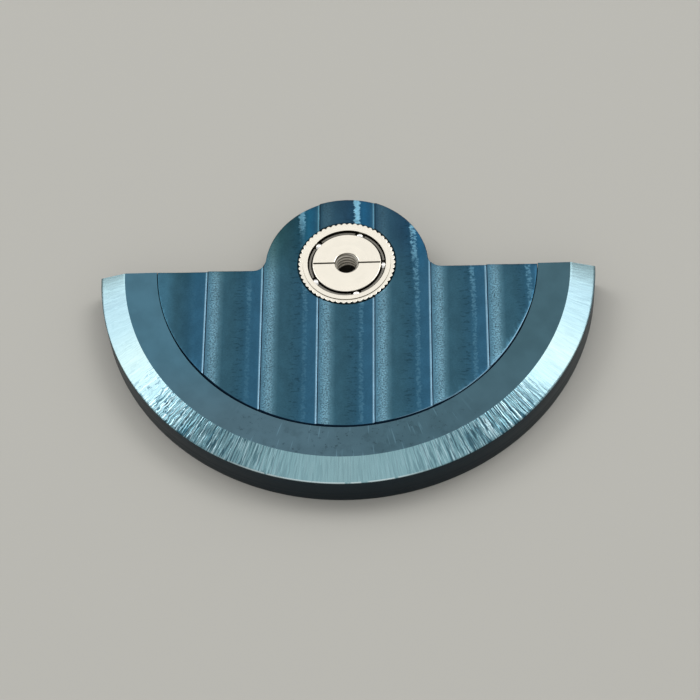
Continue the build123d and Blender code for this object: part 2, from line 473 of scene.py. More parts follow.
def rounded(corners, radii):
    """The closed outline with each corner rounded off, as far as its sides allow."""
    outline = []
    for index, (corner, radius) in enumerate(zip(corners, radii)):
        corner = Vector(corner)
        if not radius:
            outline.append(corner)
            continue
        before = Vector(corners[index - 1]) - corner
        after = Vector(corners[(index + 1) % len(corners)]) - corner
        turn = math.pi - before.angle(after)
        longest = CORNER_SIDE_SHARE * min(before.length, after.length)
        reach = min(radius * math.tan(turn / 2), longest)
        start = corner + before.normalized() * reach
        end = corner + after.normalized() * reach
        for step in range(CORNER_STEPS + 1):
            share = step / CORNER_STEPS
            outline.append(start * (1 - share) ** 2 + corner * 2 * share * (1 - share) + end * share ** 2)
    return outline


def levels_between(low, high, steps):
    return [low + (high - low) * step / steps for step in range(steps + 1)]


def even_angles(count):
    return [TURN * index / count for index in range(count)]


def polar_vert(bm, radius, angle, height):
    return bm.verts.new((radius * math.cos(angle), radius * math.sin(angle), height))


def join_rings(bm, rings, closed=False):
    """Faces from each ring of points to the next, then on to the first one, or else two end faces."""
    following = rings[1:] + rings[:1] if closed else rings[1:]
    for ring, partner in zip(rings, following):
        for index in range(len(ring)):
            after = (index + 1) % len(ring)
            bm.faces.new((ring[index], ring[after], partner[after], partner[index]))
    if not closed:
        bm.faces.new(rings[0])
        bm.faces.new(rings[-1])


def lathe(outline, angles, shape=None):
    """The closed (radius, height) outline turned through all the angles. A shape changes its radii."""
    bm = bmesh.new()
    rings = []
    for angle in angles:
        ring = []
        for radius, height in outline:
            if shape:
                radius = shape(radius, height, angle)
            ring.append(polar_vert(bm, radius, angle, height))
        rings.append(ring)
    join_rings(bm, rings, closed=True)
    return bm


def cut_away(bm, cutter):
    """The first mesh with the second cut out of it."""
    objects = []
    for source in (bm, cutter):
        bmesh.ops.recalc_face_normals(source, faces=source.faces)
        mesh = bpy.data.meshes.new("cut")
        source.to_mesh(mesh)
        source.free()
        objects.append(bpy.data.objects.new("cut", mesh))
        bpy.context.scene.collection.objects.link(objects[-1])
    body, tool = objects
    boolean = body.modifiers.new("cut", "BOOLEAN")
    boolean.operation = "DIFFERENCE"
    boolean.solver = "EXACT"
    boolean.object = tool
    result = bmesh.new()
    result.from_object(body, bpy.context.evaluated_depsgraph_get())
    for used in objects:
        mesh = used.data
        bpy.data.objects.remove(used)
        bpy.data.meshes.remove(mesh)
    return result


def piece(name, bm, body, nodes, materials, zone=None):
    """Turns a mesh in mm into a piece that rides on its body and stands for its CAD nodes."""
    bmesh.ops.recalc_face_normals(bm, faces=bm.faces)
    for face in bm.faces:
        face.smooth = True
        if zone:
            face.material_index = zone(face.calc_center_median(), face.normal)
    bmesh.ops.scale(bm, vec=(MM, MM, MM), verts=bm.verts)
    mesh = bpy.data.meshes.new(name)
    bm.to_mesh(mesh)
    bm.free()
    for material in materials:
        mesh.materials.append(material)
    made = bpy.data.objects.new(name, mesh)
    bpy.context.scene.collection.objects.link(made)
    mesh.set_sharp_from_angle(angle=math.radians(SHARP_DEGREES))
    keep_flats_flat = made.modifiers.new("flat_faces", "WEIGHTED_NORMAL")
    keep_flats_flat.keep_sharp = True
    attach(made, body)
    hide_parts(*nodes)


def rim_section():
    """(radius, height) outline of the rim, with extra points that keep the faces by the bevel flat."""
    bevel_inner = RIM_RADIUS - BEVEL_WIDTH
    bevel_foot = RIM_FACE - BEVEL_DROP
    pocket = PLATE_RADIUS + PLATE_SEAM
    ledge = PLATE_RADIUS - RIM_LEDGE
    corners = [
        (ledge, RIM_BOTTOM),
        (RIM_RADIUS, RIM_BOTTOM),
        (RIM_RADIUS, bevel_foot - RIM_SUPPORT),
        (RIM_RADIUS, bevel_foot),
        (RIM_RADIUS - RIM_SUPPORT, bevel_foot + RIM_SUPPORT * BEVEL_SLOPE),
        (bevel_inner + RIM_SUPPORT, RIM_FACE - RIM_SUPPORT * BEVEL_SLOPE),
        (bevel_inner, RIM_FACE),
        (bevel_inner - RIM_SUPPORT, RIM_FACE),
        (pocket + POCKET_EDGE, RIM_FACE),
        (pocket, RIM_FACE - POCKET_EDGE),
        (pocket, PLATE_BOTTOM),
        (ledge, PLATE_BOTTOM),
    ]
    return rounded(corners, [RIM_EDGE, RIM_EDGE, 0, BEVEL_FOOT_EDGE, 0, 0, BEVEL_TOP_EDGE, 0, 0, 0, 0, 0])


def rim_mesh():
    """The half ring, its section swept between the two ends on the straight back edge."""
    section = rim_section()
    bm = bmesh.new()
    rings = []
    for step in range(RIM_STEPS + 1):
        ring = []
        for radius, height in section:
            past = math.asin(-BACK_EDGE / radius)
            angle = math.pi + past + (math.pi - 2 * past) * step / RIM_STEPS
            ring.append(polar_vert(bm, radius, angle, height))
        rings.append(ring)
    join_rings(bm, rings)
    return bm


def rim_zone(centre, normal):
    """0 satin face, 1 brushed bevel, 2 dark walls, 3 turned underside."""
    if normal.z > FACES_FLAT:
        return 0
    if normal.z > FACES_MOSTLY and centre.xy.length > RIM_RADIUS - BEVEL_WIDTH - BEVEL_TOP_EDGE:
        return 1
    return 3 if normal.z < -FACES_MOSTLY else 2


def eased(share):
    """A share held between 0 and 1 and eased at both ends."""
    share = min(1.0, max(0.0, share))
    return share ** 2 * (3 - 2 * share)


def swell(degrees, least, most, bounds):
    """A width that grows from least to most, holds and shrinks again, between the four bounds."""
    start, full, last, end = bounds
    share = eased((degrees - start) / (full - start)) * eased((end - degrees) / (end - last))
    return least + (most - least) * share


def plate_edges(x, y):
    """Widths of the flat bright edge and the steep dark edge at a point of the plate's outline."""
    if math.hypot(x, y) < PLATE_RADIUS - EDGE_REACH or y > BACK_EDGE - PLATE_CHAMFER:
        return BRIGHT_EDGE_LEAST, PLATE_CHAMFER - BRIGHT_EDGE_LEAST
    degrees = math.degrees(math.atan2(y, x)) % 360
    bright = swell(degrees, BRIGHT_EDGE_LEAST, BRIGHT_EDGE, BRIGHT_EDGE_DEGREES)
    return bright, max(swell(degrees, DARK_EDGE_LEAST, most, bounds) for most, bounds in DARK_EDGES)


def plate_outline():
    """Outline of the plate's striped top, drawn in from the true edge by the edges round it."""
    edge = BACK_EDGE - PLATE_CHAMFER
    radius = PLATE_RADIUS - PLATE_CHAMFER
    lobe = LOBE_RADIUS - PLATE_CHAMFER
    fillet = LOBE_FILLET + PLATE_CHAMFER
    fillet_y = edge + fillet
    fillet_x = math.sqrt((lobe + fillet) ** 2 - (fillet_y - LOBE_CENTRE) ** 2)
    touch = math.atan2(fillet_y - LOBE_CENTRE, fillet_x)
    past = math.asin(-edge / radius)
    heavy = arc((0, 0), radius, math.pi + past, TURN - past, OUTLINE_STEPS)
    shares = [(PLATE_RADIUS - sum(plate_edges(x, y))) / radius for x, y in heavy]
    heavy = [(x * share, y * share) for (x, y), share in zip(heavy, shares)]
    right = arc((fillet_x, fillet_y), fillet, -math.pi / 2, -math.pi + touch, FILLET_STEPS)
    hub = arc((0, LOBE_CENTRE), lobe, touch, math.pi - touch, OUTLINE_STEPS)
    left = [(-x, y) for x, y in reversed(right)]
    return heavy + right[:-1] + hub + left[1:]


def stripe_height(x):
    """Height of the striped top: each stripe sinks in a shallow hollow, then a fillet climbs again."""
    along = (x - STRIPE_OFFSET) % STRIPE_PITCH
    if along <= STRIPE_FLAT:
        # A parabola, down by the sag share of the depth in the middle and by all of it at the end
        share = along / STRIPE_FLAT
        middle = 4 * STRIPE_SAG_SHARE
        return PLATE_TOP - STRIPE_DEPTH * ((2 - middle) * share ** 2 + (middle - 1) * share)
    radius = (STRIPE_RISER ** 2 + STRIPE_DEPTH ** 2) / (2 * STRIPE_DEPTH)
    return PLATE_TOP - STRIPE_DEPTH + radius - math.sqrt(radius ** 2 - (along - STRIPE_FLAT) ** 2)


def stripe_cuts():
    """Places along X where the top needs an edge."""
    places = levels_between(0, STRIPE_FLAT, COLUMNS_PER_STRIPE)[:-1]
    places += levels_between(STRIPE_FLAT, STRIPE_PITCH, COLUMNS_PER_RISER)[:-1]
    reach = math.ceil(PLATE_RADIUS / STRIPE_PITCH) + 1
    cuts = [STRIPE_OFFSET + number * STRIPE_PITCH + x for number in range(-reach, reach) for x in places]
    return [x for x in cuts if abs(x) < PLATE_RADIUS]


def push_edges(bm, loop, move):
    """Extrudes the edges of a loop and moves each new point as told. Returns the new edges."""
    grown = bmesh.ops.extrude_edge_only(bm, edges=loop)["geom"]
    for vert in (item for item in grown if isinstance(item, bmesh.types.BMVert)):
        vert.co = move(vert.co)
    return [item for item in grown if isinstance(item, bmesh.types.BMEdge) and len(item.link_faces) == 1]


def scaled_to(radius, height, co):
    """The point moved out or in to a radius about the rotor axis, at a height."""
    factor = radius / math.hypot(co.x, co.y)
    return Vector((co.x * factor, co.y * factor, height))


def outward(co):
    """Direction out of the plate's edge at a point of its outline."""
    round_edge = PLATE_RADIUS - sum(plate_edges(co.x, co.y)) - EDGE_MARGIN
    if co.y < BACK_EDGE + LOBE_FILLET / 2 and math.hypot(co.x, co.y) > round_edge:
        if co.y < BACK_EDGE - CORNER_REACH:
            return Vector((co.x, co.y, 0)).normalized()
        return Vector((math.copysign(1, co.x), 1, 0))
    fillet_y = BACK_EDGE + LOBE_FILLET
    fillet_x = math.sqrt((LOBE_RADIUS + LOBE_FILLET) ** 2 - (fillet_y - LOBE_CENTRE) ** 2)
    if abs(co.x) > fillet_x - TINY:
        return Vector((0, 1, 0))
    touch = LOBE_CENTRE + (fillet_y - LOBE_CENTRE) * LOBE_RADIUS / (LOBE_RADIUS + LOBE_FILLET)
    if co.y > touch:
        return Vector((co.x, co.y - LOBE_CENTRE, 0)).normalized()
    return (Vector((math.copysign(fillet_x, co.x), fillet_y, 0)) - Vector((co.x, co.y, 0))).normalized()


def past_bright_edge(co):
    """A point of the top's outline, moved out and a little down over the bright edge."""
    width = plate_edges(co.x, co.y)[0]
    return co + outward(co) * width - Vector((0, 0, width * BEVEL_SLOPE))


def past_dark_edge(co):
    """The next point, moved out and down over the dark edge."""
    width = plate_edges(co.x, co.y)[1]
    return co + outward(co) * width - Vector((0, 0, width))


def plate_mesh():
    """The plate from its striped top down: outline, chamfers, walls, stepped hub hole, flat underside."""
    recess = FLANGE_RADIUS + FLANGE_GAP
    neck = RING_NECK + PRESS_CLEARANCE
    hole = arc((0, 0), recess + PLATE_CHAMFER, 0, TURN, HUB_HOLE_STEPS)[:-1]
    bm = bmesh.new()
    edges = []
    for points in (plate_outline(), hole):
        verts = [bm.verts.new((x, y, 0)) for x, y in points]
        edges += [bm.edges.new(pair) for pair in zip(verts, verts[1:] + verts[:1])]
    bmesh.ops.triangle_fill(bm, edges=edges, use_beauty=True)
    reach = math.ceil(PLATE_RADIUS / ROW_HEIGHT)
    rows = [LOBE_CENTRE + ROW_HEIGHT * number for number in range(-reach, reach)]
    planes = [((x, 0, 0), (1, 0, 0)) for x in stripe_cuts()] + [((0, y, 0), (0, 1, 0)) for y in rows]
    for place, across in planes:
        everything = bm.verts[:] + bm.edges[:] + bm.faces[:]
        bmesh.ops.bisect_plane(bm, geom=everything, dist=CUT_TOLERANCE, plane_co=place, plane_no=across)
    for vert in bm.verts:
        vert.co.z = stripe_height(vert.co.x)
    open_edges = [edge for edge in bm.edges if len(edge.link_faces) == 1]
    limit = recess + HUB_HOLE_MARGIN
    inner = [edge for edge in open_edges if max(v.co.xy.length for v in edge.verts) < limit]
    outer = [edge for edge in open_edges if edge not in set(inner)]
    outer = push_edges(bm, outer, past_bright_edge)
    outer = push_edges(bm, outer, past_dark_edge)
    outer = push_edges(bm, outer, lambda co: Vector((co.x, co.y, PLATE_BOTTOM)))
    inner = push_edges(bm, inner, lambda co: scaled_to(recess, co.z - PLATE_CHAMFER, co))
    for radius, height in ((recess, FLANGE_BOTTOM), (neck, FLANGE_BOTTOM), (neck, PLATE_BOTTOM)):
        inner = push_edges(bm, inner, partial(scaled_to, radius, height))
    bmesh.ops.triangle_fill(bm, edges=outer + inner, use_beauty=True)
    return bm


def plate_zone(centre, normal):
    """0 striped top, 1 chamfers, walls and hub recess, 2 underside, 3 dark edge with painted shade, 4
    bright edge with painted highlight.
    """
    if normal.z < -FACES_MOSTLY:
        return 2
    looks_up = normal.z > FACES_PARTLY
    bright, dark = plate_edges(centre.x, centre.y)
    inside = PLATE_RADIUS - centre.xy.length
    if looks_up and centre.y < BACK_EDGE - PLATE_CHAMFER and inside < EDGE_FACE_SHARE * (bright + dark):
        if inside < dark:
            return 3 if dark > DARK_COLOUR_SHARE * DARK_EDGE_LEAST else 0
        return 4 if bright > BRIGHT_COLOUR_SHARE * BRIGHT_EDGE_LEAST else 0
    return 0 if looks_up and centre.z > PLATE_TOP - STRIPE_DEPTH - PLATE_CHAMFER else 1


def groove(side, levels):
    """(radius, height) points of a ball groove: side 1 in the outer race, -1 in the inner race."""
    aways = [math.sqrt(GROOVE_RADIUS ** 2 - (level - BALL_LEVEL) ** 2) for level in levels]
    return [(TRACK_RADIUS + side * away, level) for away, level in zip(aways, levels)]


def groove_half_height(lip):
    """Half the height of the groove where it opens at a lip's radius."""
    return math.sqrt(GROOVE_RADIUS ** 2 - (TRACK_RADIUS - lip) ** 2)


def outward_share(centre, normal):
    """How far a face looks away from the axis, from -1 to 1."""
    return centre.xy.normalized().dot(normal.xy)


def thread_shape(radius, height, angle):
    """Cuts a right handed thread into the bore: the groove climbs a pitch in each turn."""
    if radius > THREAD_MINOR + TINY:
        return radius
    turns = (height / THREAD_PITCH - angle / TURN) % 1
    flank = max(0.0, 1 - abs(turns - 0.5) / THREAD_FLANK_SHARE)
    run_in = min(1.0, max(0.0, (height - BORE_FOOT) / THREAD_RUN_IN))
    return THREAD_MINOR + (THREAD_MAJOR - THREAD_MINOR) * min(1.0, flank * THREAD_ROOT_GAIN) * run_in


def core_outline():
    """(radius, height) outline of the core: neck, upper half of the race, bevelled face, bore."""
    neck = TRACK_RADIUS - GROOVE_RADIUS - CONE_WALL
    race_top = BALL_LEVEL + groove_half_height(CORE_RADIUS)
    outline = [(THREAD_EXIT, 0), (neck, 0), (neck, BALL_LEVEL)]
    outline += groove(-1, levels_between(BALL_LEVEL, race_top, RACE_LEVELS))
    outline += [(CORE_RADIUS, race_top + CORE_LIP), (CORE_RADIUS, CORE_TOP - CORE_BEVEL)]
    for share in CORE_BEVEL_SHARES:
        outline.append((CORE_RADIUS - CORE_BEVEL * share, CORE_TOP - CORE_BEVEL * (1 - share)))
    outline += [(CORE_RADIUS - CORE_BEVEL * share, CORE_TOP) for share in FACE_LOOP_SHARES]
    outline += [(THREAD_MOUTH + CORE_BEVEL * share, CORE_TOP) for share in MOUTH_LOOP_SHARES]
    outline.append((THREAD_MOUTH, CORE_TOP - MOUTH_STEP))
    bore_top = CORE_TOP - (THREAD_MOUTH - THREAD_MINOR)
    return outline + [(THREAD_MINOR, z) for z in levels_between(bore_top, BORE_FOOT, THREAD_LEVELS)]


def core_zone(centre, normal):
    """0 bright faces, 1 shaded race and slot, 2 threaded bore."""
    radius = centre.xy.length
    depth = CORE_TOP - centre.z
    if radius < THREAD_MOUTH and depth > BORE_SHADE_DEPTH and normal.z > -FACES_FULLY:
        return 2
    over_slot = abs(centre.y) < SLOT_WIDTH and radius < CORE_RADIUS
    in_slot = over_slot and SLOT_SHADE_DEPTH < depth < 2 * SLOT_DEPTH
    on_race = outward_share(centre, normal) > FACES_PARTLY and depth > CORE_BEVEL
    return 1 if on_race or in_slot else 0


def slot_cutter():
    """A bar with a V mouth, which leaves the slot and its broken edges."""
    half = SLOT_WIDTH / 2
    right = [
        (half * SLOT_FLOOR_SHARE, CORE_TOP - SLOT_DEPTH),
        (half * SLOT_FLOOR_SHARE, CORE_TOP - half * SLOT_EDGE_SHARE),
        (half, CORE_TOP),
        (half * 2, CORE_TOP + SLOT_DEPTH),
    ]
    section = right + [(-y, z) for y, z in reversed(right)]
    reach = CORE_RADIUS - SLOT_END_MARGIN
    bm = bmesh.new()
    join_rings(bm, [[bm.verts.new((x, y, z)) for y, z in section] for x in (-reach, reach)])
    return bm


def cone_outline():
    """(radius, height) outline of the cone, with the lower half of the race."""
    neck = TRACK_RADIUS - GROOVE_RADIUS - CONE_WALL + PRESS_CLEARANCE
    top = BALL_LEVEL - CONE_GAP
    race_low = BALL_LEVEL - groove_half_height(CORE_RADIUS)
    outline = [(neck, cone_low.z), (CORE_RADIUS - CONE_BEVEL, cone_low.z)]
    outline.append((CORE_RADIUS, cone_low.z + CONE_BEVEL))
    outline += groove(-1, levels_between(race_low, top, RACE_LEVELS))
    return outline + [(neck, top)]


def ring_outline():
    """(radius, height) outline of the outer ring: neck, flange, raised band, outer race."""
    race = groove_half_height(RING_BORE)
    bore = groove(1, levels_between(BALL_LEVEL + race, BALL_LEVEL - race, OUTER_RACE_LEVELS))
    corners = [
        (RING_BORE, ring_low.z),
        (RING_NECK, ring_low.z),
        (RING_NECK, FLANGE_BOTTOM),
        (FLANGE_RADIUS, FLANGE_BOTTOM),
        (FLANGE_RADIUS, FLANGE_TOP),
        (BOSS_RADIUS + BAND_GROOVE_WIDTH, FLANGE_TOP),
        (BOSS_RADIUS, FLANGE_TOP - BAND_GROOVE_DEPTH),
        (BOSS_RADIUS, BOSS_TOP),
        (RING_BORE, BOSS_TOP),
    ]
    return rounded(corners, [RING_EDGE] * 5 + [0, 0, 0, RING_EDGE]) + bore


def knurl_shape(radius, height, angle):
    """Draws the flange's edge in between the knurl's teeth."""
    root = FLANGE_RADIUS - KNURL_DEPTH
    if radius < root:
        return radius
    turns = (angle / TURN * KNURL_COUNT) % 1
    tooth = min(1.0, abs(1 - 2 * turns) * KNURL_SLOPE) ** FLANK_POWER
    return root + (radius - root) * tooth


def ring_zone(centre, normal):
    """0 bright faces, 1 shaded race and the band's wall."""
    facing = outward_share(centre, normal)
    radius = centre.xy.length
    below_face = radius < BOSS_RADIUS - RING_EDGE and centre.z < BOSS_TOP - RING_EDGE
    by_wall = abs(radius - BOSS_RADIUS) < RING_EDGE and centre.z > FLANGE_BOTTOM
    on_race = facing < -FACES_PARTLY and below_face
    on_wall = facing > FACES_FULLY and by_wall
    return 1 if on_race or on_wall else 0


def band_outline(inner, outer, low, high, edge):
    """(radius, height) outline of a plain ring with rounded edges."""
    return rounded([(inner, low), (outer, low), (outer, high), (inner, high)], [edge] * 4)


def cage_outline():
    inner = CORE_RADIUS + CAGE_CLEARANCE
    return band_outline(inner, inner + CAGE_WALL, cage_low.z, cage_high.z, CAGE_EDGE)


def pocket_outline():
    """Outline of a ball pocket as (sideways, height): a round window with a narrower mouth."""
    radius = BALL_RADIUS + POCKET_CLEARANCE
    mouth = radius * POCKET_MOUTH_SHARE
    lip = math.acos(POCKET_MOUTH_SHARE)
    top = cage_high.z + BALL_RADIUS
    window = arc((0, BALL_LEVEL), radius, math.pi - lip, TURN + lip, POCKET_STEPS)
    return window + [(mouth, top), (-mouth, top)]


def pocket_cutters():
    """Bars along the radius, one through each ball, with the pocket's outline."""
    bm = bmesh.new()
    for turn in even_angles(BALL_COUNT):
        out = Vector((math.cos(FIRST_BALL_ANGLE + turn), math.sin(FIRST_BALL_ANGLE + turn)))
        ends = []
        for reach in (CORE_RADIUS - BALL_RADIUS, RING_BORE + BALL_RADIUS):
            places = [(out * reach + out.orthogonal() * across, z) for across, z in pocket_outline()]
            ends.append([bm.verts.new((*place, z)) for place, z in places])
        join_rings(bm, ends)
    return bm


def gear_outline():
    return band_outline(RING_NECK + PRESS_CLEARANCE, gear_high.x, gear_low.z, gear_high.z, GEAR_EDGE)


def gear_angles():
    """Angles round the gear, closer together along the flanks of its teeth."""
    root, tip = TOOTH_ROOT_SHARE / 2, TOOTH_TIP_SHARE / 2
    shares = [-0.5] + levels_between(-root, -tip, TOOTH_FLANK_STEPS)
    shares += [0] + [-share for share in reversed(shares[1:])]
    return [(tooth + share) * TURN / GEAR_TEETH for tooth in range(GEAR_TEETH) for share in shares]


def gear_shape(radius, height, angle):
    """Draws the gear's edge in between its teeth, whose flanks curve like an involute."""
    if radius < GEAR_ROOT:
        return radius
    away = abs((angle / TURN * GEAR_TEETH + 0.5) % 1 - 0.5)
    root, tip = TOOTH_ROOT_SHARE / 2, TOOTH_TIP_SHARE / 2
    rise = min(1.0, max(0.0, (root - away) / (root - tip)))
    return GEAR_ROOT + (radius - GEAR_ROOT) * rise ** FLANK_POWER


def ball_mesh(node):
    low, high = corners_of(node)
    bm = bmesh.new()
    bmesh.ops.create_uvsphere(bm, u_segments=BALL_SEGMENTS, v_segments=BALL_RINGS, radius=BALL_RADIUS)
    bmesh.ops.translate(bm, vec=(low + high) / 2, verts=bm.verts)
    return bm


class Field:
    """A number, colour or place that varies over a surface. Sums with it become nodes."""

    def __init__(self, socket):
        self.socket = socket
        self.tree = socket.id_data

    def __add__(self, other):
        return calc("ADD", self, other)

    def __sub__(self, other):
        return calc("SUBTRACT", self, other)

    def __mul__(self, other):
        return calc("MULTIPLY", self, other)

    def __truediv__(self, other):
        return calc("DIVIDE", self, other)

    def __abs__(self):
        return calc("ABSOLUTE", self)


def feed(socket, given):
    """Links a field to a node's socket, or sets the socket to a plain value."""
    if isinstance(given, Field):
        given.tree.links.new(given.socket, socket)
    else:
        socket.default_value = given


def new_node(tree, kind, inputs, output=0, **settings):
    """A new node, fed with its inputs. Returns one of its outputs as a field."""
    node = tree.nodes.new("ShaderNode" + kind)
    for name, value in settings.items():
        setattr(node, name, value)
    for key, given in inputs.items():
        feed(node.inputs[key], given)
    return Field(node.outputs[output])


def calc(operation, field, *others):
    return new_node(field.tree, "Math", dict(enumerate((field, *others))), operation=operation)


def fade(value, near, far, start=0.0, end=1.0):
    """Goes smoothly from start, where the value is at the near end, to end at the far end."""
    if near > far:
        near, far, start, end = far, near, end, start
    span = {"Value": value, "From Min": near, "From Max": far, "To Min": start, "To Max": end}
    return new_node(value.tree, "MapRange", span, interpolation_type="SMOOTHSTEP")


def noise(place, marks, detail, roughness=0.5):
    """Noise of about 0 to 1 round 0.5. The marks are a count per unit, or one for each axis."""
    if isinstance(marks, tuple):
        place = new_node(place.tree, "VectorMath", {0: place, 1: marks}, operation="MULTIPLY")
        marks = 1.0
    inputs = {"Vector": place, "Scale": marks, "Detail": detail, "Roughness": roughness}
    return new_node(place.tree, "TexNoise", inputs)


def blend(share, first, second, kind="MIX"):
    """Mixes two colours, each a field or three numbers."""
    first, second = [colour if isinstance(colour, Field) else (*colour, 1) for colour in (first, second)]
    inputs = {0: share, 6: first, 7: second}
    return new_node(share.tree, "Mix", inputs, 2, data_type="RGBA", blend_type=kind)


def blend_number(share, first, second):
    """Mixes two numbers, each a field or plain."""
    return new_node(share.tree, "Mix", {0: share, 2: first, 3: second})


def dim(colour, factor):
    """The colour times a field of numbers."""
    return new_node(factor.tree, "VectorMath", {0: colour, "Scale": factor}, operation="SCALE")


def colour_ramp(share, stops):
    """Colours along a share from 0 to 1."""
    node = share.tree.nodes.new("ShaderNodeValToRGB")
    feed(node.inputs[0], share)
    elements = node.color_ramp.elements
    elements.remove(elements[1])
    elements[0].position = stops[0][0]
    elements[0].color = (*stops[0][1], 1)
    for position, colour in stops[1:]:
        elements.new(position).color = (*colour, 1)
    return Field(node.outputs[0])


def number_ramp(share, stops):
    """Numbers along a share from 0 to 1."""
    return colour_ramp(share, [(position, (number,) * 3) for position, number in stops])


def part_of(place, axis):
    return new_node(place.tree, "SeparateXYZ", {0: place}, axis)


def joined(x, y=0.0, z=0.0):
    return new_node(x.tree, "CombineXYZ", {0: x, 1: y, 2: z})


def radius_of(place):
    """Distance from the rotor axis."""
    x, y = part_of(place, "X"), part_of(place, "Y")
    return calc("SQRT", x * x + y * y)


def angle_of(place):
    """Angle round the rotor axis from +X towards +Y, in radians from -pi to pi."""
    return calc("ARCTAN2", part_of(place, "Y"), part_of(place, "X"))


def unroll(place):
    """The place as way round at the rim, radius and height."""
    return joined(angle_of(place) * RIM_RADIUS, radius_of(place), part_of(place, "Z"))


def new_material(name, colour, roughness, metallic=1):
    """A material with one shader, and the surface's place in mm in the piece's own frame."""
    material = bpy.data.materials.new(name)
    material.use_nodes = True
    tree = material.node_tree
    inputs = tree.nodes["Principled BSDF"].inputs
    inputs["Base Color"].default_value = (*colour, 1)
    inputs["Metallic"].default_value = metallic
    inputs["Roughness"].default_value = roughness
    place = new_node(tree, "TexCoord", {}, "Object")
    return material, new_node(tree, "VectorMath", {0: place, "Scale": 1 / MM}, operation="SCALE")


def finish(material, colour, roughness=None, height=None, relief=0.0):
    """Feeds the material's shader. The height raises the surface by up to the relief in mm."""
    inputs = material.node_tree.nodes["Principled BSDF"].inputs
    feed(inputs["Base Color"], colour)
    if roughness:
        feed(inputs["Roughness"], roughness)
    if height:
        bump = {"Height": height, "Distance": relief * MM, "Strength": 1.0}
        feed(inputs["Normal"], new_node(material.node_tree, "Bump", bump))
    return material


def reflection_streaks(place, along):
    """How much of the painted reflection streak shows: ragged and mottled, strong at the hub, weak at the
    left.
    """
    x, y = part_of(place, "X"), part_of(place, "Y")
    ragged = (noise(place, *STREAK_RAGGEDNESS) - NOISE_MEAN) * STREAK_RAGGED_SHARE + along
    off_centre = abs(ragged - fade(y, *STREAK_CENTRE_FADE)) * fade(y, *STREAK_SPREAD_FADE)
    mottled = fade(noise(place, *MOTTLES), *MOTTLES_FADE)
    mottled = calc("MAXIMUM", mottled, fade(y, *MOTTLES_TOP_FADE))
    gain = number_ramp(y / STREAK_GAINS_LENGTH + STREAK_GAINS_AXIS_SHARE, STREAK_GAINS)
    gain = gain * fade(x, *STREAK_LEFT_END_FADE) * fade(x, *STREAK_LEFT_FADE)
    streak_dim = fade(y, *STREAK_DIM_TOP_FADE) * fade(y, *STREAK_DIM_FOOT_FADE) * fade(x, *STREAK_DIM_LEFT_FADE)
    return fade(off_centre, *STREAK_FADE) * mottled * gain * fade(streak_dim, *STREAK_DIM_GAIN_FADE)


def striped_blue():
    """The ground stripes, each with a crest line of painted highlight and painted shade, a frosted band,
    a dark middle and a light streak of painted reflection.
    """
    material, place = new_material("striped_blue", STRIPED_COLOUR, roughness=0.3)
    x, y = part_of(place, "X"), part_of(place, "Y")
    along = calc("FRACT", (x - STRIPE_OFFSET) / STRIPE_PITCH)
    in_hub = fade(y, *HUB_FADE)
    colour = blend(in_hub, colour_ramp(along, STRIPE_COLOURS), colour_ramp(along, HUB_STRIPE_COLOURS))
    colour = blend(in_hub * fade(x, *HUB_LEFT_FADE), colour, HUB_LEFT_TINT, "MULTIPLY")
    left_end = fade(x, *LEFT_END_FADE)
    colour = blend(left_end, colour, LEFT_END_COLOUR)

    grain = noise(place, *GRAIN)
    rippled = (noise(place, *FROST_RIPPLE) - NOISE_MEAN) * FROST_RIPPLE_SHARE + along
    frosted = fade(along, *FROST_START_FADE) * fade(rippled, *FROST_END_FADE)
    frosted = blend_number(left_end, frosted, 0.0)
    contrast = fade(y, *FROST_CONTRAST_FADE) * frosted + GRAIN_CONTRAST
    shade = (grain - NOISE_MEAN) * contrast + 1.0
    shade = shade * fade(noise(place, *PATCHES), *PATCHES_FADE)
    dashed = fade(along, *DASHES_START_FADE) * fade(along, *DASHES_END_FADE) * fade(x, *DASHES_LEFT_FADE)
    shade = shade - fade(noise(place, *DASHES), *DASHES_FADE) * dashed * DASHES_DARKNESS
    # Painted reflection: the light streak over the stripes
    colour = blend(reflection_streaks(place, along), dim(colour, shade), STREAK_REFLECTION_COLOUR)

    height = grain * frosted + noise(place, *DRAWN_MARKS) * DRAWN_MARKS_HEIGHT
    return finish(material, colour, frosted * FROST_ROUGHNESS + STRIPED_ROUGHNESS, height, STRIPED_RELIEF)


def satin_blue():
    """The rim's matt face: fine frosting, and lower down light scratches, dark specks and smudges."""
    material, place = new_material("satin_blue", SATIN_COLOUR, roughness=0.5)
    x, y = part_of(place, "X"), part_of(place, "Y")
    degrees = calc("DEGREES", angle_of(place))
    # Painted light, lighter at the left
    colour = blend(fade(x, *SATIN_FADE), SATIN_LEFT, SATIN_RIGHT)
    lower = blend(fade(x, *SATIN_LOWER_FADE), SATIN_LOWER, SATIN_LOWER_RIGHT)
    colour = blend(fade(y, *SATIN_DOWN_FADE), colour, lower)
    frost = noise(place, *SATIN_FROST)
    clouded = fade(noise(place, *SATIN_CLOUD), *SATIN_CLOUD_FADE)
    shade = clouded + (frost - NOISE_MEAN) * SATIN_FROST_CONTRAST
    marks = fade(noise(unroll(place), *SCRATCHES), *SCRATCHES_FADE) * SCRATCHES_LIGHTNESS
    marks = marks - fade(noise(place, *SPECKS), *SPECKS_FADE) * SPECKS_DARKNESS
    marks = marks - fade(noise(place, *SMUDGES), *SMUDGES_FADE) * SMUDGES_DARKNESS
    marked = fade(degrees, *MARKED_START_FADE) * fade(degrees, *MARKED_END_FADE)
    shade = shade + marks * marked
    return finish(material, dim(colour, shade), fade(frost, *SATIN_ROUGHNESS_FADE), frost, SATIN_RELIEF)


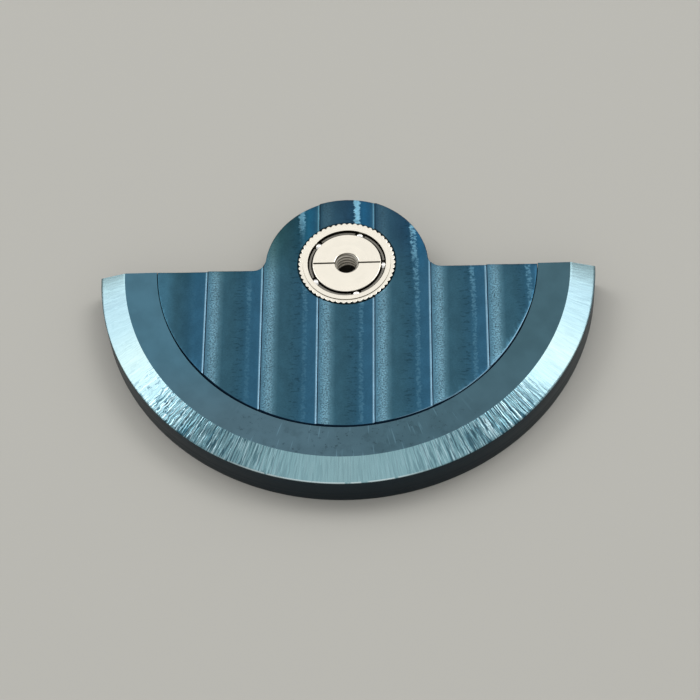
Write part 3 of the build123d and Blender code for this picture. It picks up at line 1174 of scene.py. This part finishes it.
def brushed_bevel():
    """The bevel: brushed across, fine in front, coarse at both sides and torn at the left."""
    material, place = new_material("brushed_bevel", BEVEL_COLOUR, roughness=0.18)
    unrolled = unroll(place)
    degrees = calc("DEGREES", angle_of(place))
    from_middle = abs(degrees - BEVEL_MIDDLE_DEGREES) / BEVEL_HALF_DEGREES
    strength = number_ramp(from_middle + fade(degrees, *BRUSHING_SHIFT_FADE), BRUSHING_STRENGTH)
    torn = fade(from_middle, *TORN_FADE) * fade(degrees, *TORN_SIDE_FADE)
    wiggle = (noise(unrolled, *WIGGLE) - NOISE_MEAN) * (torn * TORN_WIGGLE_REACH + WIGGLE_REACH)
    bent = new_node(wiggle.tree, "VectorMath", {0: unrolled, 1: joined(wiggle)}, operation="ADD")
    fine = noise(bent, *FINE_BRUSHING)
    coarse = noise(bent, *COARSE_BRUSHING)
    # The colour round the bevel is partly painted light
    colour = dim(colour_ramp(from_middle, BEVEL_COLOURS), fine * FINE_CONTRAST + FINE_DARKEST)
    colour = blend(fade(noise(bent, *GLINTS), *GLINTS_FADE) * strength, colour, GLINT_COLOUR)
    # Furrows darkened: painted shade, partly the plating's dark edges
    furrow_shade = fade(noise(bent, *FURROW_SHADE_MARKS), *FURROW_SHADE_FADE) * (strength * FURROW_SHADE_GAIN + FURROW_SHADE_LEAST)
    pits = fade(noise(unrolled, *PITS), *PITS_FADE)
    colour = blend(furrow_shade * blend_number(torn, 1.0, pits), colour, FURROW_SHADE_COLOUR)
    # Bright foot line: partly wear, partly painted highlight
    worn_sheen = fade(radius_of(place), *WORN_SHEEN_EDGE_FADE) * fade(noise(unrolled, *WORN_SHEEN_GAPS), *WORN_SHEEN_GAPS_FADE)
    worn_sheen = worn_sheen * fade(degrees, *WORN_SHEEN_START_FADE) * fade(degrees, *WORN_SHEEN_END_FADE)
    colour = blend(worn_sheen, colour, WORN_SHEEN_COLOUR)
    smoother = torn * fade(from_middle, *SMOOTHER_FADE)
    height = (coarse * COARSE_HEIGHT + fine * FINE_HEIGHT) * strength
    height = height * blend_number(smoother, 1.0, SMOOTHER_RELIEF_SHARE)
    return finish(material, colour, fade(coarse, *COARSE_ROUGHNESS_FADE), height, BRUSHING_RELIEF)


def turned_metal(name, colour, roughness, lines=22.0, relief=0.0004, contrast=0.10):
    """Metal with fine turning marks round the rotor axis, so many lines to the mm."""
    material, place = new_material(name, colour, roughness)
    marks = noise(joined(radius_of(place), part_of(place, "Z")), lines, detail=2.0)
    cloud = noise(place, *TURNED_CLOUD)
    shade = fade(marks, *TURNED_MARKS_ENDS, 1 - contrast, 1 + contrast)
    shade = shade * fade(cloud, *TURNED_CLOUD_ENDS, 1 - contrast / 2, 1 + contrast / 2)
    levels = [roughness * share for share in TURNED_ROUGHNESS_SHARES]
    return finish(material, dim(colour, shade), fade(marks, *TURNED_MARKS_ENDS, *levels), marks, relief)


def threaded_steel():
    """The bore: bright thread crests with painted shade in the grooves between them."""
    material, place = new_material("bore_steel", CREST_COLOUR, roughness=0.35, metallic=0.5)
    in_groove = fade(radius_of(place), THREAD_MINOR + CREST_WIDTH, THREAD_MAJOR)
    marks = noise(unroll(place), *THREAD_MARKS)
    colour = dim(blend(in_groove, CREST_COLOUR, GROOVE_SHADE_COLOUR), fade(marks, *THREAD_SHADE_FADE))
    return finish(material, colour, fade(marks, *THREAD_ROUGHNESS_FADE))


def polished_chrome():
    """The balls, with fine random marks."""
    material, place = new_material("ball_chrome", BALL_COLOUR, roughness=0.07)
    marks = noise(place, *BALL_MARKS)
    colour = dim(BALL_COLOUR, fade(marks, *BALL_SHADE_FADE))
    return finish(material, colour, fade(marks, *BALL_ROUGHNESS_FADE))


def floor():
    bm = bmesh.new()
    bmesh.ops.create_circle(bm, cap_ends=True, segments=FLOOR_SIDES, radius=FLOOR_RADIUS * MM)
    bmesh.ops.translate(bm, vec=(0, 0, (RIM_BOTTOM - FLOOR_GAP) * MM), verts=bm.verts)
    mesh = bpy.data.meshes.new("floor")
    bm.to_mesh(mesh)
    bm.free()
    material, place = new_material("floor_pale", FLOOR_COLOUR, roughness=0.9, metallic=0)
    # A painted shadow under the bearing, seen through the bore
    colour = blend(fade(radius_of(place), *BORE_SHADOW_FADE), BORE_SHADOW_COLOUR, FLOOR_COLOUR)
    mesh.materials.append(finish(material, colour))
    made = bpy.data.objects.new("floor", mesh)
    bpy.context.scene.collection.objects.link(made)


def world():
    """An even sky, dimmer towards the horizon."""
    made = bpy.data.worlds.new("studio")
    made.use_nodes = True
    background = made.node_tree.nodes["Background"]
    background.inputs["Color"].default_value = (1, 1, 1, 1)
    direction = new_node(made.node_tree, "TexCoord", {}, "Generated")
    feed(background.inputs["Strength"], fade(part_of(direction, "Z"), *SKY_FADE))
    bpy.context.scene.world = made


def lamp(name, azimuth, elevation, distance, size, radiance):
    """A round lamp that faces the object. Its power is pi times its radiance times its area."""
    turn, rise = math.radians(azimuth), math.radians(elevation)
    towards = Vector((math.cos(turn) * math.cos(rise), math.sin(turn) * math.cos(rise), math.sin(rise)))
    data = bpy.data.lights.new(name, "AREA")
    data.shape = "DISK"
    data.size = size
    area = math.pi * (size / 2) ** 2
    data.energy = radiance * math.pi * area
    made = bpy.data.objects.new(name, data)
    made.location = towards * distance
    made.rotation_euler = towards.to_track_quat("Z", "Y").to_euler()
    bpy.context.scene.collection.objects.link(made)


def camera():
    data = bpy.data.cameras.new("camera")
    data.lens = CAMERA_LENS
    data.sensor_width = CAMERA_SENSOR
    data.clip_start = CAMERA_CLIP_START * MM
    made = bpy.data.objects.new("camera", data)
    made.location = CAMERA_PLACE * MM
    made.rotation_euler = [math.radians(angle) for angle in CAMERA_TURN_DEGREES]
    bpy.context.scene.collection.objects.link(made)
    bpy.context.scene.camera = made


striped = striped_blue()
satin = satin_blue()
bevel = brushed_bevel()
wall = turned_metal("wall_dark", WALL_COLOUR, roughness=0.4, lines=12.0)
edge = turned_metal("edge_blue", EDGE_COLOUR, roughness=0.45)
edge_shade = turned_metal("seam_black", EDGE_SHADE_COLOUR, roughness=0.5)
bright_edge = turned_metal("bright_edge", EDGE_HIGHLIGHT_COLOUR, roughness=0.28)
underside = turned_metal("underside_blue", UNDERSIDE_COLOUR, roughness=0.38, lines=7.0, relief=0.0015,
                         contrast=0.2)
steel = turned_metal("bright_steel", STEEL_COLOUR, roughness=0.2, contrast=0.03)
race_steel = turned_metal("shaded_steel", RACE_COLOUR, roughness=0.4)
bore_steel = threaded_steel()
cage_steel = turned_metal("cage_steel", CAGE_COLOUR, roughness=0.4)
chrome = polished_chrome()
brass = turned_metal("gear_brass", BRASS_COLOUR, roughness=0.25, lines=16.0, relief=0.0008, contrast=0.12)

plate_metals = [striped, edge, underside, edge_shade, bright_edge]
ring = lathe(ring_outline(), even_angles(KNURL_COUNT * KNURL_STEPS), knurl_shape)
ring_metals = [steel, race_steel]
gear = lathe(gear_outline(), gear_angles(), gear_shape)
core = cut_away(lathe(core_outline(), even_angles(RACE_STEPS), thread_shape), slot_cutter())
core_metals = [steel, race_steel, bore_steel]
cone = lathe(cone_outline(), even_angles(RACE_STEPS))
cage = cut_away(lathe(cage_outline(), even_angles(CAGE_STEPS)), pocket_cutters())
piece("rim", rim_mesh(), "rotor", ["heavy_rim"], [satin, bevel, wall, underside], rim_zone)
piece("striped_plate", plate_mesh(), "rotor", ["carrier_plate"], plate_metals, plate_zone)
piece("knurled_ring", ring, "rotor", ["bearing_outer_ring"], ring_metals, ring_zone)
piece("gear", gear, "rotor", ["winding_gear"], [brass])
piece("slotted_core", core, "inner_race", ["bearing_core"], core_metals, core_zone)
piece("race_cone", cone, "inner_race", ["bearing_cone"], [race_steel])
piece("cage_crown", cage, "cage", ["ball_cage"], [cage_steel])
for number in range(1, BALL_COUNT + 1):
    node = f"ball_{number}"
    piece(f"steel_{node}", ball_mesh(node), node, [node], [chrome])

floor()
world()
camera()
for settings in LAMPS:
    lamp(*settings)
bpy.context.scene.view_settings.view_transform = "Standard"
